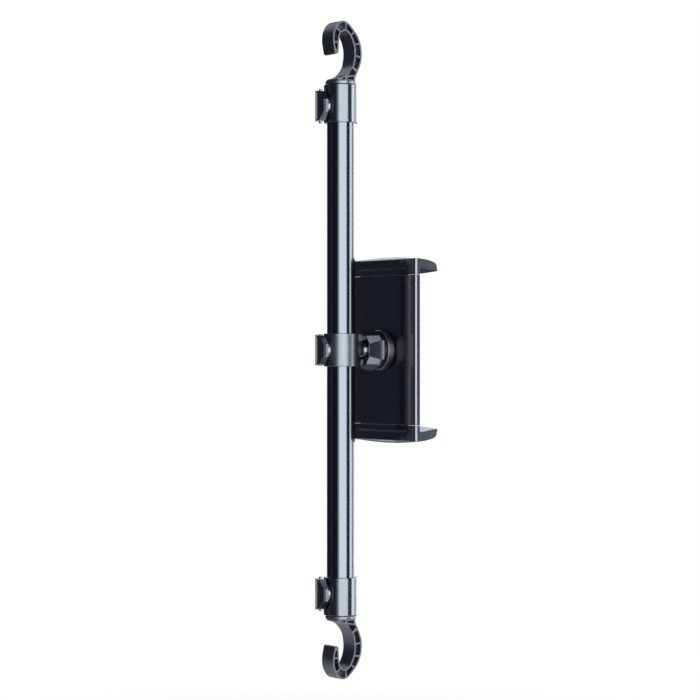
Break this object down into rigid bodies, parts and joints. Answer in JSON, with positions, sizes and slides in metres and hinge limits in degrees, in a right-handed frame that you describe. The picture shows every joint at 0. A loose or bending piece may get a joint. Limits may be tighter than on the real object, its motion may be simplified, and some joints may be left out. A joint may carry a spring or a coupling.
{
  "type": "headrest tablet mount",
  "caption": "Telescoping black rod with a ribbed hook at each end, and a sliding collar whose ball joint carries a spring-jawed tablet holder.",
  "frame": {"origin": "middle of the rod, on its axis", "axes": "+Z along the rod, the tablet faces -Y, the hooks open towards +Y, X across the tablet"},
  "size_m": [0.1032, 0.0986, 0.6096],
  "materials": {
    "tube_black": "black satin anodised tube",
    "inner_tube_steel": "brushed",
    "black_plastic": "black moulded, fine grain",
    "black_gloss": "black polished",
    "rubber_black": "soft black",
    "liner_grey": "grey bearing plastic",
    "brass_insert": "turned",
    "zinc_screw": "zinc plated"
  },
  "bodies": {
    "rod": {"outer_tube": "tube_black", "upper_collar": "black_gloss", "lower_collar": "black_gloss", "upper_insert": "brass_insert", "lower_insert": "brass_insert"},
    "liner": {"collar_liner": "liner_grey"},
    "slide_collar": {"middle_collar": "black_gloss", "ball_stud": "black_gloss", "middle_insert": "brass_insert"},
    "seat": {"ball_seat": "liner_grey"},
    "nut": {"ball_nut": "black_gloss"},
    "holder": {"ball_socket": "black_plastic", "back_cover": "black_gloss", "front_cover": "black_plastic", "cover_screws": "zinc_screw", "socket_screws": "zinc_screw", "front_pad": "rubber_black", "upper_anchor_pin": "black_plastic", "lower_anchor_pin": "black_plastic", "upper_spring": "zinc_screw", "lower_spring": "zinc_screw"},
    "upper_runner": {"upper_glide": "liner_grey"},
    "upper_hook_arm": {"upper_inner_tube": "inner_tube_steel", "upper_hook": "black_plastic", "upper_hook_rivet": "zinc_screw"},
    "upper_jaw_slider": {"upper_jaw": "black_gloss", "upper_jaw_pin": "zinc_screw", "upper_lip_pad": "rubber_black"},
    "lower_runner": {"lower_glide": "liner_grey"},
    "lower_hook_arm": {"lower_inner_tube": "inner_tube_steel", "lower_hook": "black_plastic", "lower_hook_rivet": "zinc_screw"},
    "lower_jaw_slider": {"lower_jaw": "black_gloss", "lower_jaw_pin": "zinc_screw", "lower_lip_pad": "rubber_black"},
    "upper_pad_slider": {"upper_clamp_pad": "liner_grey"},
    "upper_knob_turner": {"upper_knob": "black_plastic", "upper_clamp_screw": "zinc_screw"},
    "middle_pad_slider": {"middle_clamp_pad": "liner_grey"},
    "middle_knob_turner": {"middle_knob": "black_plastic", "middle_clamp_screw": "zinc_screw"},
    "lower_pad_slider": {"lower_clamp_pad": "liner_grey"},
    "lower_knob_turner": {"lower_knob": "black_plastic", "lower_clamp_screw": "zinc_screw"}
  },
  "joints": [
    {"name": "upper_extend", "type": "slide", "parent": "rod", "child": "upper_runner", "axis": [0, 0, 1], "range_m": [0, 0.15]},
    {"name": "upper_hook_swivel", "type": "hinge", "parent": "upper_runner", "child": "upper_hook_arm", "pos_m": [0, 0, 0.25], "axis": [0, 0, 1], "continuous": true},
    {"name": "lower_extend", "type": "slide", "parent": "rod", "child": "lower_runner", "axis": [0, 0, -1], "range_m": [0, 0.15]},
    {"name": "lower_hook_swivel", "type": "hinge", "parent": "lower_runner", "child": "lower_hook_arm", "pos_m": [0, 0, -0.25], "axis": [0, 0, 1], "continuous": true},
    {"name": "collar_slide", "type": "slide", "parent": "rod", "child": "liner", "axis": [0, 0, 1], "range_m": [-0.19, 0.19]},
    {"name": "collar_swivel", "type": "hinge", "parent": "liner", "child": "slide_collar", "pos_m": [0, 0, 0], "axis": [0, 0, 1], "continuous": true},
    {"name": "ball_yaw", "type": "hinge", "parent": "slide_collar", "child": "seat", "pos_m": [0, -0.0277, 0], "axis": [0, 0, 1], "range_deg": [-25, 25]},
    {"name": "ball_pitch", "type": "hinge", "parent": "seat", "child": "nut", "pos_m": [0, -0.0277, 0], "axis": [1, 0, 0], "range_deg": [-10, 10]},
    {"name": "holder_spin", "type": "hinge", "parent": "nut", "child": "holder", "pos_m": [0, -0.0277, 0], "axis": [0, 1, 0], "continuous": true},
    {"name": "upper_jaw_slide", "type": "slide", "parent": "holder", "child": "upper_jaw_slider", "axis": [0, 0, 1], "range_m": [0, 0.045], "stiffness_N_per_m": 150, "springref_m": -0.02, "deforming": ["upper_spring"]},
    {"name": "lower_jaw_slide", "type": "slide", "parent": "holder", "child": "lower_jaw_slider", "axis": [0, 0, -1], "range_m": [0, 0.045], "stiffness_N_per_m": 150, "springref_m": -0.02, "deforming": ["lower_spring"]},
    {"name": "upper_pad_travel", "type": "slide", "parent": "rod", "child": "upper_pad_slider", "axis": [0.309, 0.9511, 0], "range_m": [0, 0.002]},
    {"name": "upper_knob_turn", "type": "hinge", "parent": "upper_pad_slider", "child": "upper_knob_turner", "pos_m": [0.00618, 0.01902, 0.2246], "axis": [0.309, 0.9511, 0], "range_deg": [0, 720]},
    {"name": "middle_pad_travel", "type": "slide", "parent": "slide_collar", "child": "middle_pad_slider", "axis": [0.309, 0.9511, 0], "range_m": [0, 0.002]},
    {"name": "middle_knob_turn", "type": "hinge", "parent": "middle_pad_slider", "child": "middle_knob_turner", "pos_m": [0.00618, 0.01902, 0], "axis": [0.309, 0.9511, 0], "range_deg": [0, 720]},
    {"name": "lower_pad_travel", "type": "slide", "parent": "rod", "child": "lower_pad_slider", "axis": [0.309, 0.9511, 0], "range_m": [0, 0.002]},
    {"name": "lower_knob_turn", "type": "hinge", "parent": "lower_pad_slider", "child": "lower_knob_turner", "pos_m": [0.00618, 0.01902, -0.2246], "axis": [0.309, 0.9511, 0], "range_deg": [0, 720]}
  ],
  "couplings": [
    {"joint": "upper_knob_turn", "follows": "upper_pad_travel", "rad_per_m": 6283.2},
    {"joint": "middle_knob_turn", "follows": "middle_pad_travel", "rad_per_m": 6283.2},
    {"joint": "lower_knob_turn", "follows": "lower_pad_travel", "rad_per_m": 6283.2}
  ]
}
